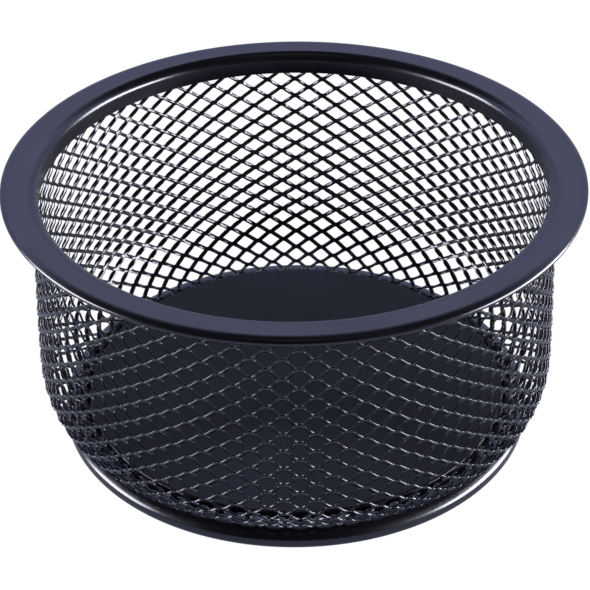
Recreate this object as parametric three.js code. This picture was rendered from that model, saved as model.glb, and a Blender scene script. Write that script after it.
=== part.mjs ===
// A small round desk holder for paper clips: a black pressed-steel rim, a barrel-shaped wall of
// expanded-metal mesh, and a solid floor clamped over a pressed base. Nothing on it moves.
// Millimetres. The part stands on z = 0 with +Z, its axis of symmetry, pointing up out of the cup.

import * as THREE from 'three';

// Driving dimensions.
const RIM_DIAMETER = 112;       // over the rim's folded outer edge
const HEIGHT = 54.1;            // table to the rim's flat top
const BASE_DIAMETER = 94;       // over the base's rolled edge
const SHEET = 0.7;              // steel sheet of the rim and the base
const MESH_THICKNESS = 0.75;    // expanded metal, over its tilted strands
const CONTACT_GAP = 0.05;       // between pieces that are pressed or welded together

// Rim: a flat ring with a skirt bent down inside the mesh and an outer edge folded under.
const SKIRT_INNER_RADIUS = 48.9;
const SKIRT_DEPTH = 4.4;        // below the flat top
const BEND_WIDTH = 2.4;         // outer side of the bend between the flat and the skirt
const BEND_HEIGHT = 1.7;        // height of the same bend
const HEM_THICKNESS = 1.5;      // two layers of sheet, pressed together
const HEM_WIDTH = 3.4;          // how far the fold reaches back under the flat
const HEM_SHOULDER = 1.8;       // width over which the flat rounds down into the edge

// Wall: slightly wider towards the bottom, then turned in over the base.
const WALL_TOP_DROP = 1.8;      // from the rim's flat top to the mesh's upper edge, below the bend
const BULGE_GROWTH = 0.8;       // extra radius at the widest height
const BULGE_DROP = 38.8;        // widest height, below the flat top
const CORNER_END_RADIUS = 41.6; // where the turned-in corner has become flat
const HEM_INNER_RADIUS = 39.5;  // inner edge of the turned-in mesh

// Floor and base.
const FLOOR_RADIUS = 41.9;
const FLOOR_THICKNESS = 0.5;
const BASE_TOP = 3.3;           // upper face of the base's plate
const BASE_SHOULDER = 2.6;      // width over which the base rounds down into its edge
const SHOULDER_DROP = 1.5;      // height of the same rounding
const BASE_EDGE_RADIUS = 1.1;   // rolled lower edge
const BASE_FOLD_WIDTH = 2.2;    // how far the edge is rolled back underneath

const TURNED_SIDES = 72;        // flats around every turned piece
const ARC_STEPS = 4;            // chords in a quarter-turn bend
const TIGHT_ARC_STEPS = 2;      // chords in a bend of about one sheet thickness
const WALL_STEPS = 5;           // chords along the barrel
const FOLD_START = -30;         // degrees; where an edge's rounded fold turns under

// Black enamel: satin on the pressed steel, a little glossier on the mesh.
const METALNESS = 0.4;
const RIM_ENAMEL = { color: 0x2c2e38, roughness: 0.4, metalness: METALNESS };
const MESH_ENAMEL = { color: 0x1c1d24, roughness: 0.35, metalness: METALNESS };
const PAN_ENAMEL = { color: 0x24252d, roughness: 0.42, metalness: METALNESS };

// Points along a quarter of an ellipse, between two angles in degrees; 0 points outwards, 90 up.
function arc(centreRadius, centreHeight, radial, axial, fromDegrees, toDegrees, steps = ARC_STEPS) {
  const points = [];
  for (let i = 0; i <= steps; i += 1) {
    const angle = THREE.MathUtils.degToRad(THREE.MathUtils.lerp(fromDegrees, toDegrees, i / steps));
    points.push(new THREE.Vector2(
      centreRadius + radial * Math.cos(angle),
      centreHeight + axial * Math.sin(angle),
    ));
  }
  return points;
}

// A point of an outline: radius from the axis, and height.
const at = (radius, height) => new THREE.Vector2(radius, height);

// A solid of revolution about +Z from an outline that runs clockwise, seen with +Z up and the
// radius to the right. An outline that doesn't start and end on the axis closes on itself.
// A lathe's faces point outwards when its outline runs the other way round.
function turned(name, outline, enamel) {
  const onAxis = outline[0].x === 0;
  const points = onAxis ? [...outline] : [...outline, outline[0].clone()];
  const geometry = new THREE.LatheGeometry(points.reverse(), TURNED_SIDES);
  geometry.rotateX(Math.PI / 2);
  const mesh = new THREE.Mesh(geometry, new THREE.MeshStandardMaterial(enamel));
  mesh.name = name;
  return mesh;
}

function rimRing() {
  const outer = RIM_DIAMETER / 2;
  const bendCentre = SKIRT_INNER_RADIUS + BEND_WIDTH;
  const bendBottom = HEIGHT - BEND_HEIGHT;
  const halfHem = HEM_THICKNESS / 2;
  const edgeHeight = HEIGHT - halfHem;
  const foldEnd = outer - HEM_WIDTH;
  return turned('rim_ring', [
    at(SKIRT_INNER_RADIUS, HEIGHT - SKIRT_DEPTH),
    ...arc(bendCentre, bendBottom, BEND_WIDTH, BEND_HEIGHT, 180, 90),
    ...arc(outer - HEM_SHOULDER, edgeHeight, HEM_SHOULDER, halfHem, 90, 0),
    ...arc(outer - halfHem, edgeHeight, halfHem, halfHem, FOLD_START, -90, TIGHT_ARC_STEPS),
    at(foldEnd, HEIGHT - HEM_THICKNESS),
    at(foldEnd, HEIGHT - SHEET),
    ...arc(bendCentre, bendBottom, BEND_WIDTH - SHEET, BEND_HEIGHT - SHEET, 90, 180),
    at(SKIRT_INNER_RADIUS + SHEET, HEIGHT - SKIRT_DEPTH),
  ], RIM_ENAMEL);
}

// The wall's outer and inner outlines are the same curve, one mesh thickness apart.
function meshWall() {
  const topRadius = SKIRT_INNER_RADIUS + SHEET + CONTACT_GAP;
  const hemBottom = BASE_TOP + CONTACT_GAP;
  const cornerHeight = HEIGHT - BULGE_DROP;
  const side = (offset) => {
    const widest = topRadius + BULGE_GROWTH + offset;
    const points = [];
    for (let i = 0; i < WALL_STEPS; i += 1) {
      const t = i / WALL_STEPS;
      const height = THREE.MathUtils.lerp(HEIGHT - WALL_TOP_DROP, cornerHeight, t);
      points.push(at(topRadius + offset + BULGE_GROWTH * t * t * (3 - 2 * t), height));
    }
    const bottom = hemBottom + MESH_THICKNESS - offset;
    points.push(...arc(CORNER_END_RADIUS, cornerHeight, widest - CORNER_END_RADIUS,
      cornerHeight - bottom, 0, -90, 2 * ARC_STEPS));
    points.push(at(HEM_INNER_RADIUS, bottom));
    return points;
  };
  return turned('mesh_wall', [...side(MESH_THICKNESS), ...side(0).reverse()], MESH_ENAMEL);
}

// The floor lies on the turned-in mesh, and its upper edge is rounded over.
function floorDisc() {
  const underside = BASE_TOP + MESH_THICKNESS + 2 * CONTACT_GAP;
  const edgeCentre = FLOOR_RADIUS - FLOOR_THICKNESS;
  return turned('floor_disc', [
    at(0, underside + FLOOR_THICKNESS),
    ...arc(edgeCentre, underside, FLOOR_THICKNESS, FLOOR_THICKNESS, 90, 0, TIGHT_ARC_STEPS),
    at(0, underside),
  ], PAN_ENAMEL);
}

// The base is a shallow pan upside down: a plate whose edge rolls down and back underneath, so
// that the part rests on the roll's flat ring and not on the plate.
function basePan() {
  const outer = BASE_DIAMETER / 2;
  const edgeCentre = outer - BASE_EDGE_RADIUS;
  const shoulderStart = BASE_TOP - SHOULDER_DROP;
  const foldEnd = outer - BASE_FOLD_WIDTH;
  return turned('base_pan', [
    at(0, BASE_TOP),
    ...arc(outer - BASE_SHOULDER, shoulderStart, BASE_SHOULDER, SHOULDER_DROP, 90, 0),
    ...arc(edgeCentre, BASE_EDGE_RADIUS, BASE_EDGE_RADIUS, BASE_EDGE_RADIUS, 0, -90),
    at(foldEnd, 0),
    at(foldEnd, SHEET),
    at(foldEnd + SHEET, BASE_TOP - SHEET),
    at(0, BASE_TOP - SHEET),
  ], PAN_ENAMEL);
}

const holder = new THREE.Group();
holder.add(rimRing(), meshWall(), floorDisc(), basePan());

export default holder;
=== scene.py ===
"""A round desk holder for paper clips in black enamelled steel: a pressed rim and base, and a
barrel-shaped wall of expanded metal. Metres in the frame; the constants below are millimetres."""

import math

import bmesh
import bpy
import numpy as np
from mathutils import Matrix, Vector


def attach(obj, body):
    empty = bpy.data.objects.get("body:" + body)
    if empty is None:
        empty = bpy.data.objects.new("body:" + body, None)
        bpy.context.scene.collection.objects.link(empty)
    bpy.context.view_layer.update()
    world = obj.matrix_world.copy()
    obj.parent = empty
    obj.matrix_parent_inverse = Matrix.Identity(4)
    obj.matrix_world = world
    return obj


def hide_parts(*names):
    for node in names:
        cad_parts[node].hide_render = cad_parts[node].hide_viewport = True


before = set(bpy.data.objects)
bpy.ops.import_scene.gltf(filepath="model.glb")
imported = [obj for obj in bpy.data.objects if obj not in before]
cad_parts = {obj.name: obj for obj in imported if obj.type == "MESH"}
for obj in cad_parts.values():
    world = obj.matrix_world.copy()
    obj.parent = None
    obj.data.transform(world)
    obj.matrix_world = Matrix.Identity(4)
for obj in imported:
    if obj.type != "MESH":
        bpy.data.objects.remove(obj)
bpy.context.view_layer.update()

MM = 0.001
TAU = 2 * math.pi

# Rim.
RIM_RADIUS = 56.0
HEIGHT = 54.1
SHEET = 0.7
SKIRT_INNER = 48.9
SKIRT_DEPTH = 4.4
SKIRT_DROP = 1.7          # height of the bend between the flat and the skirt
BEND_WIDTH = 2.4          # outer side of the same bend
HEM_THICKNESS = 1.5
HEM_WIDTH = 3.4           # how far the folded edge reaches back under the flat
HEM_SHOULDER = 1.8        # width over which the flat rounds down into the edge
HEM_SOFTENING = 0.15      # of the cut edges of the sheet

# Base and floor.
BASE_RADIUS = 47.0
BASE_TOP = 3.3
BASE_SHOULDER = 2.6       # width over which the base rounds down into its edge
SHOULDER_DROP = 1.5       # height of the same rounding
BASE_EDGE_RADIUS = 1.1
BASE_FOLD = 2.2           # how far the edge is rolled back underneath
BASE_SOFTENING = 0.12
FLOOR_RADIUS = 41.9
FLOOR_TOP = 4.65
FLOOR_THICKNESS = 0.5

# Wall: the middle of the expanded metal, from its top edge down to its turned-in hem.
WALL_TOP = HEIGHT - 1.8
WALL_TOP_RADIUS = 50.025
WALL_GROWTH = 0.8
CORNER_HEIGHT = HEIGHT - 38.8
CORNER_END = 41.6
HEM_LEVEL = 3.725
HEM_INNER = 39.5

# Expanded metal: COLUMNS cells round the wall, in staggered rows.
COLUMNS = 54
CELL_WIDTH = 5.86
ROW_PITCH = 1.93          # between staggered rows of the flat sheet
FIRST_ROW = 4.49          # path length from the top edge to row 0
TOP_PITCH = 2.048         # between rows near row 0 ...
PITCH_LOSS = 0.01368      # ... and how much less it gets with every row further down
TOP_ROW = -2
BOTTOM_ROW = 27
HOLE_HALF_WIDTH = 2.2
HOLE_NARROWING = 0.3      # half width lost from row 0 down to the last row
BOND_HEIGHT = 0.85
STRAND_SLOPE = 0.80
SHEET_GAUGE = 0.38
TILT = math.radians(22)   # of the bonds: upper edges outwards
EDGE_ROUND = 0.07
OUTLINE = (1.0, 0.82, 0.6, 0.38, 0.24, 0.12, 0.0)  # share of the half width, from corner to crown
SKEW = (-0.0017, 0.0102, 0.010)  # uneven stretch round the wall, radians

SIDES = 288
WELD = 1e-6  # metres


def mesh_object(name, vertices, faces):
    mesh = bpy.data.meshes.new(name)
    mesh.from_pydata([tuple(v) for v in vertices], [], [tuple(f) for f in faces])
    mesh.validate()
    mesh.shade_smooth()
    piece = bpy.data.objects.new(name, mesh)
    bpy.context.scene.collection.objects.link(piece)
    return piece


def weight_normals(piece):
    modifier = piece.modifiers.new("normals", "WEIGHTED_NORMAL")
    modifier.weight = 50
    modifier.keep_sharp = True


def arc(radius, height, radial, axial, start, end, steps):
    """Points along a quarter of an ellipse; 0 degrees points outwards, 90 up."""
    angles = np.radians(np.linspace(start, end, steps + 1))
    return [(radius + radial * math.cos(a), height + axial * math.sin(a)) for a in angles]


def turned(name, outline):
    """A closed solid of revolution from an outline of (radius, height) that runs clockwise."""
    on_axis = outline[0][0] == 0
    ring_points = outline[1:-1] if on_axis else outline
    angles = np.arange(SIDES) * TAU / SIDES
    vertices = []
    for radius, height in ring_points:
        for a in angles:
            vertices.append((radius * math.cos(a) * MM, radius * math.sin(a) * MM, height * MM))
    faces = []
    rows = len(ring_points)
    for i in range(rows if not on_axis else rows - 1):
        j = (i + 1) % rows
        for k in range(SIDES):
            n = (k + 1) % SIDES
            faces.append((i * SIDES + k, j * SIDES + k, j * SIDES + n, i * SIDES + n))
    if on_axis:
        for row, height, upwards in ((0, outline[0][1], True), (rows - 1, outline[-1][1], False)):
            centre = len(vertices)
            vertices.append((0, 0, height * MM))
            for k in range(SIDES):
                n = (k + 1) % SIDES
                a, b = row * SIDES + k, row * SIDES + n
                faces.append((centre, a, b) if upwards else (centre, b, a))
    piece = mesh_object(name, vertices, faces)
    weight_normals(piece)
    return piece


def rim():
    bend_centre = SKIRT_INNER + BEND_WIDTH
    bend_height = HEIGHT - SKIRT_DROP
    half = HEM_THICKNESS / 2
    soft = HEM_SOFTENING
    outline = [
        (SKIRT_INNER, HEIGHT - SKIRT_DEPTH + soft),
        *arc(bend_centre, bend_height, BEND_WIDTH, SKIRT_DROP, 180, 90, 12),
        *arc(RIM_RADIUS - HEM_SHOULDER, HEIGHT - half, HEM_SHOULDER, half, 90, 0, 10),
        *arc(RIM_RADIUS - half, HEIGHT - half, half, half, -10, -90, 8),
        (RIM_RADIUS - HEM_WIDTH + soft, HEIGHT - HEM_THICKNESS),
        (RIM_RADIUS - HEM_WIDTH, HEIGHT - HEM_THICKNESS + soft),
        (RIM_RADIUS - HEM_WIDTH, HEIGHT - SHEET),
        *arc(bend_centre, bend_height, BEND_WIDTH - SHEET, SKIRT_DROP - SHEET, 90, 180, 6),
        (SKIRT_INNER + SHEET, HEIGHT - SKIRT_DEPTH + soft),
        (SKIRT_INNER + SHEET - soft, HEIGHT - SKIRT_DEPTH),
        (SKIRT_INNER + soft, HEIGHT - SKIRT_DEPTH),
    ]
    return turned("rim_ring_fine", outline)


def base():
    fold_end = BASE_RADIUS - BASE_FOLD
    shoulder_start = BASE_RADIUS - BASE_SHOULDER
    edge = BASE_EDGE_RADIUS
    soft = BASE_SOFTENING
    outline = [
        (0, BASE_TOP),
        (HEM_INNER, BASE_TOP),
        *arc(shoulder_start, BASE_TOP - SHOULDER_DROP, BASE_SHOULDER, SHOULDER_DROP, 90, 0, 10),
        *arc(BASE_RADIUS - edge, edge, edge, edge, 0, -90, 8),
        (fold_end + soft, 0),
        (fold_end, soft),
        (fold_end, SHEET),
        (fold_end + SHEET, BASE_TOP - SHEET),
        (HEM_INNER, BASE_TOP - SHEET),
        (0, BASE_TOP - SHEET),
    ]
    return turned("base_pan_fine", outline)


def floor_disc():
    underside = FLOOR_TOP - FLOOR_THICKNESS
    outline = [
        (0, FLOOR_TOP),
        (FLOOR_RADIUS / 2, FLOOR_TOP),
        *arc(FLOOR_RADIUS - FLOOR_THICKNESS, underside, FLOOR_THICKNESS, FLOOR_THICKNESS, 90, 0, 6),
        (FLOOR_RADIUS / 2, underside),
        (0, underside),
    ]
    return turned("floor_disc_fine", outline)


def wall_path():
    """The wall's middle as radius, height and outward normal, tabled against path length."""
    points = []
    for t in np.linspace(0, 1, 120, endpoint=False):
        ease = t * t * (3 - 2 * t)
        points.append((WALL_TOP_RADIUS + WALL_GROWTH * ease, WALL_TOP + (CORNER_HEIGHT - WALL_TOP) * t))
    widest = WALL_TOP_RADIUS + WALL_GROWTH
    corner_width, corner_drop = widest - CORNER_END, CORNER_HEIGHT - HEM_LEVEL
    points += arc(CORNER_END, CORNER_HEIGHT, corner_width, corner_drop, 0, -90, 120)
    points.append((HEM_INNER, HEM_LEVEL))
    points = np.array(points)
    steps = np.diff(points, axis=0)
    length = np.concatenate([[0], np.cumsum(np.hypot(steps[:, 0], steps[:, 1]))])
    tangent = np.gradient(points, length, axis=0)
    tangent /= np.linalg.norm(tangent, axis=1)[:, None]
    normal = np.stack([-tangent[:, 1], tangent[:, 0]], axis=1)
    return length, points, normal


PATH_LENGTH, PATH_POINTS, PATH_NORMALS = wall_path()


def on_wall(angle, down, out):
    """Points in metres from an angle round the wall, a length down its path and an offset outwards."""
    radius = np.interp(down, PATH_LENGTH, PATH_POINTS[:, 0])
    height = np.interp(down, PATH_LENGTH, PATH_POINTS[:, 1])
    normal_r = np.interp(down, PATH_LENGTH, PATH_NORMALS[:, 0])
    normal_z = np.interp(down, PATH_LENGTH, PATH_NORMALS[:, 1])
    r = radius + out * normal_r
    return np.stack([r * np.sin(angle), r * np.cos(angle), height + out * normal_z], axis=-1) * MM


def row_depth(row):
    """Path length down to a row, or to a point between rows."""
    return FIRST_ROW + TOP_PITCH * row - PITCH_LOSS / 2 * row**2


def quarter(row):
    """The quarter of a cell right of and above its hole's centre: points along the rhombus between
    the bonds' middles, and points along the hole, both from the corner up to the crown."""
    share = np.array(OUTLINE)
    k = np.linspace(0, 1, len(share))
    rhombus = np.stack([(1 - k) * CELL_WIDTH / 2, k * ROW_PITCH], axis=1)
    half_width = HOLE_HALF_WIDTH - HOLE_NARROWING * row / BOTTOM_ROW
    half_height = ROW_PITCH * (1 - BOND_HEIGHT / 2 / (TOP_PITCH - PITCH_LOSS * row))
    u = share * half_width
    turn = 2 * (half_width - half_height / STRAND_SLOPE)
    straight = STRAND_SLOPE * (half_width - u)
    crown = half_height - STRAND_SLOPE / (2 * turn) * u**2
    hole = np.stack([u, np.where(u > turn, straight, crown)], axis=1)
    return rhombus, hole


def mirrored(points):
    """A whole outline, anticlockwise from the right-hand corner, from its first quarter."""
    top = np.concatenate([points, points[-2::-1] * (-1, 1)])
    return np.concatenate([top, top[-2:0:-1] * (1, -1)])


def lean(u, v):
    """How far out the tilted sheet lies at a point of a cell, in mm."""
    half_bond = CELL_WIDTH / 2 - HOLE_HALF_WIDTH
    share = np.clip((HOLE_HALF_WIDTH - np.abs(u)) / (HOLE_HALF_WIDTH - half_bond), 0, 1)
    return math.tan(TILT) * (v - np.where(v >= 0, 1, -1) * share * ROW_PITCH)


def cell_rings(row):
    """A cell's six rings as (u, v, out): front middle line, front edge, cut edge, and back again."""
    rhombus, hole = (mirrored(q) for q in quarter(row))
    outward = hole - rhombus
    outward /= np.linalg.norm(outward, axis=1)[:, None]
    inset = hole - outward * EDGE_ROUND
    half = SHEET_GAUGE / 2
    rings = []
    for outline, depth in (
        (rhombus, half), (inset, half), (hole, half - EDGE_ROUND),
        (hole, EDGE_ROUND - half), (inset, -half), (rhombus, -half),
    ):
        u, v = outline[:, 0], outline[:, 1]
        down, out = depth * math.sin(TILT), depth * math.cos(TILT)
        rings.append(np.stack([u, v - down, lean(u, v) + out], axis=1))
    return np.array(rings)


def mesh_wall():
    """Every cell is six rings, laid on the wall's path. The first and last rows are half cells,
    cut through their holes' middles, and the cut bonds are closed."""
    vertices, faces, total = [], [], 0
    for row in range(TOP_ROW, BOTTOM_ROW + 1):
        rings = cell_rings(row)
        count = rings.shape[1]
        half = count // 2
        whole = TOP_ROW < row < BOTTOM_ROW
        start = half if row == TOP_ROW else 0
        kept = (start + np.arange((count if whole else half) + 1)) % count
        part = rings[:, kept]
        down = row_depth(row - part[..., 1] / ROW_PITCH)
        stagger = 0.5 if row % 2 == 0 else 0.0
        for column in range(COLUMNS):
            angle = (column + stagger + part[..., 0] / CELL_WIDTH) * TAU / COLUMNS
            angle = angle + SKEW[0] + SKEW[1] * np.cos(angle) + SKEW[2] * np.sin(angle)
            vertices.append(on_wall(angle, down, part[..., 2]).reshape(-1, 3))
            index = total + np.arange(angle.size).reshape(angle.shape)
            total += angle.size
            quads = np.stack([index[:-1, :-1], index[1:, :-1], index[1:, 1:], index[:-1, 1:]], axis=-1)
            faces += quads.reshape(-1, 4).tolist()
            if not whole:
                faces += [index[::-1, 0].tolist(), index[:, -1].tolist()]
    piece = mesh_object("mesh_wall_fine", np.concatenate(vertices), faces)
    build = bmesh.new()
    build.from_mesh(piece.data)
    bmesh.ops.remove_doubles(build, verts=build.verts, dist=WELD)
    build.to_mesh(piece.data)
    build.free()
    weight_normals(piece)
    return piece


# Materials.

def nodes_of(name):
    material = bpy.data.materials.new(name)
    material.use_nodes = True
    tree = material.node_tree
    return material, tree, tree.nodes["Principled BSDF"]


def enamel(name, roughness, ior, peel_size, peel_depth, base=(0.0022, 0.0022, 0.0034)):
    """Black stoved enamel: a cool dark gloss with orange peel and faintly uneven gloss."""
    material, tree, shader = nodes_of(name)
    shader.inputs["IOR"].default_value = ior
    shader.inputs["Specular Tint"].default_value = (0.8, 0.81, 1.0, 1)
    place = tree.nodes.new("ShaderNodeTexCoord")

    def noise(scale, detail):
        node = tree.nodes.new("ShaderNodeTexNoise")
        node.inputs["Scale"].default_value = scale
        node.inputs["Detail"].default_value = detail
        tree.links.new(place.outputs["Object"], node.inputs["Vector"])
        return node.outputs["Fac"]

    def spread(factor, low, high):
        node = tree.nodes.new("ShaderNodeMapRange")
        node.inputs["From Min"].default_value = 0.3
        node.inputs["From Max"].default_value = 0.7
        node.inputs["To Min"].default_value = low
        node.inputs["To Max"].default_value = high
        tree.links.new(factor, node.inputs["Value"])
        return node.outputs["Result"]

    cloud = noise(60, 3)
    tree.links.new(spread(cloud, roughness - 0.04, roughness + 0.04), shader.inputs["Roughness"])
    mix = tree.nodes.new("ShaderNodeMix")
    mix.data_type = "RGBA"
    mix.inputs["A"].default_value = (*(c * 0.85 for c in base), 1)
    mix.inputs["B"].default_value = (*(c * 1.2 for c in base), 1)
    tree.links.new(noise(140, 4), mix.inputs["Factor"])
    tree.links.new(mix.outputs["Result"], shader.inputs["Base Color"])
    bump = tree.nodes.new("ShaderNodeBump")
    bump.inputs["Strength"].default_value = 1.0
    bump.inputs["Distance"].default_value = peel_depth
    tree.links.new(noise(1 / peel_size, 1), bump.inputs["Height"])
    tree.links.new(bump.outputs["Normal"], shader.inputs["Normal"])
    return material


def dress(piece, material, node):
    piece.data.materials.clear()
    piece.data.materials.append(material)
    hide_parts(node)
    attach(piece, "root")


dress(rim(), enamel("rim_enamel", 0.24, 1.7, 0.0012, 4e-6), "rim_ring")
dress(mesh_wall(), enamel("mesh_enamel", 0.11, 1.7, 0.0008, 3e-6), "mesh_wall")
dress(floor_disc(), enamel("floor_enamel", 0.30, 1.35, 0.0012, 6e-6), "floor_disc")
dress(base(), enamel("base_enamel", 0.26, 1.7, 0.0012, 4e-6), "base_pan")


# Camera.

DISTANCE = 390.8
ELEVATION = 30.453
PITCH = -3.445
ROLL = -0.545
FOCAL = 124.45


def camera():
    elevation = math.radians(ELEVATION)
    target = Vector((0, 0, HEIGHT))
    place = target + DISTANCE * Vector((0, -math.cos(elevation), math.sin(elevation)))
    forward = (target - place).normalized()
    right = Vector((1, 0, 0))
    up = right.cross(forward)
    pitch, roll = math.radians(PITCH), math.radians(ROLL)
    forward, up = (
        forward * math.cos(pitch) + up * math.sin(pitch),
        up * math.cos(pitch) - forward * math.sin(pitch),
    )
    right, up = (
        right * math.cos(roll) + up * math.sin(roll),
        up * math.cos(roll) - right * math.sin(roll),
    )
    data = bpy.data.cameras.new("camera")
    data.sensor_width = 36
    data.lens = FOCAL
    data.clip_start = 0.01
    data.clip_end = 20
    eye = bpy.data.objects.new("camera", data)
    eye.matrix_world = Matrix.Translation(place * MM) @ Matrix(
        (right, up, -forward)
    ).transposed().to_4x4()
    bpy.context.scene.collection.objects.link(eye)
    bpy.context.scene.camera = eye


camera()


# Stage.

def table():
    """A floor that glows plain white to the camera; in glossy surfaces it glows a dimmer pale blue-grey
    instead, which is painted shade for the table around the holder.
    """
    reach = 6.0
    corners = [(-reach, -reach, 0), (reach, -reach, 0), (reach, reach, 0), (-reach, reach, 0)]
    mesh = bpy.data.meshes.new("table")
    mesh.from_pydata(corners, [], [(0, 1, 2, 3)])
    top = bpy.data.objects.new("table", mesh)
    bpy.context.scene.collection.objects.link(top)
    material, tree, shader = nodes_of("table_white")
    shader.inputs["Base Color"].default_value = (0.02, 0.02, 0.02, 1)
    shader.inputs["Roughness"].default_value = 1.0
    shader.inputs["Specular IOR Level"].default_value = 0
    ray = tree.nodes.new("ShaderNodeLightPath")
    glow_white_or_painted_shade = tree.nodes.new("ShaderNodeMix")
    glow_white_or_painted_shade.data_type = "RGBA"
    # Painted shade: all rays but camera rays see the floor's glow dimmed to blue-grey, standing in for
    # the table lying in shade round the holder.
    glow_white_or_painted_shade.inputs["A"].default_value = (0.37, 0.40, 0.51, 1)
    glow_white_or_painted_shade.inputs["B"].default_value = (1, 1, 1, 1)
    tree.links.new(ray.outputs["Is Camera Ray"], glow_white_or_painted_shade.inputs["Factor"])
    tree.links.new(glow_white_or_painted_shade.outputs["Result"], shader.inputs["Emission Color"])
    shader.inputs["Emission Strength"].default_value = 1.0
    mesh.materials.append(material)


def softbox(name, place, facing, width, height, strength):
    """A slightly warm area light that gloss mirrors and the camera doesn't see. Sizes in metres;
    strength is its radiance."""
    data = bpy.data.lights.new(name, "AREA")
    data.shape = "RECTANGLE"
    data.size = width
    data.size_y = height
    data.energy = strength * width * height * math.pi
    data.color = (1.0, 0.985, 0.93)
    light = bpy.data.objects.new(name, data)
    light.location = place
    light.rotation_euler = Vector(facing).to_track_quat("-Z", "Y").to_euler()
    light.visible_camera = False
    bpy.context.scene.collection.objects.link(light)


DIM = (0.02, 0.02, 0.025)
PALE = (0.43, 0.47, 0.74)
BRIGHT = (1.0, 1.06, 1.45)
BACK_WALL = ((0.01, PALE), (0.72, PALE), (0.80, BRIGHT), (0.87, DIM), (0.99, DIM))


def surroundings():
    """A studio that gloss mirrors as a bluish back wall, brightest at its top edge, with dark in front
    and overhead. The camera sees plain white."""
    world = bpy.data.worlds.new("studio")
    bpy.context.scene.world = world
    world.use_nodes = True
    tree = world.node_tree
    place = tree.nodes.new("ShaderNodeTexCoord")
    split = tree.nodes.new("ShaderNodeSeparateXYZ")
    tree.links.new(place.outputs["Generated"], split.inputs["Vector"])

    def between(value, low, high):
        node = tree.nodes.new("ShaderNodeMapRange")
        node.inputs["From Min"].default_value = low
        node.inputs["From Max"].default_value = high
        tree.links.new(value, node.inputs["Value"])
        return node.outputs["Result"]

    back = tree.nodes.new("ShaderNodeValToRGB")
    back.color_ramp.interpolation = "EASE"
    for position, colour in BACK_WALL:
        back.color_ramp.elements.new(position).color = (*colour, 1)
    tree.links.new(between(split.outputs["Z"], -1, 1), back.inputs["Fac"])

    studio = tree.nodes.new("ShaderNodeMix")
    studio.data_type = "RGBA"
    studio.inputs["A"].default_value = (*DIM, 1)
    tree.links.new(between(split.outputs["Y"], -0.1, 0.35), studio.inputs["Factor"])
    tree.links.new(back.outputs["Color"], studio.inputs["B"])

    seen = tree.nodes.new("ShaderNodeMix")
    seen.data_type = "RGBA"
    seen.inputs["B"].default_value = (1, 1, 1, 1)
    ray = tree.nodes.new("ShaderNodeLightPath")
    tree.links.new(ray.outputs["Is Camera Ray"], seen.inputs["Factor"])
    tree.links.new(studio.outputs["Result"], seen.inputs["A"])
    tree.links.new(seen.outputs["Result"], tree.nodes["Background"].inputs["Color"])


table()
surroundings()
softbox("softbox_left", (-0.36, -0.04, 0.11), (1, 0, 0), 0.22, 0.20, 18)
softbox("softbox_right", (0.36, -0.03, 0.11), (-1, 0, 0), 0.30, 0.20, 24)

bpy.context.scene.view_settings.view_transform = "Standard"
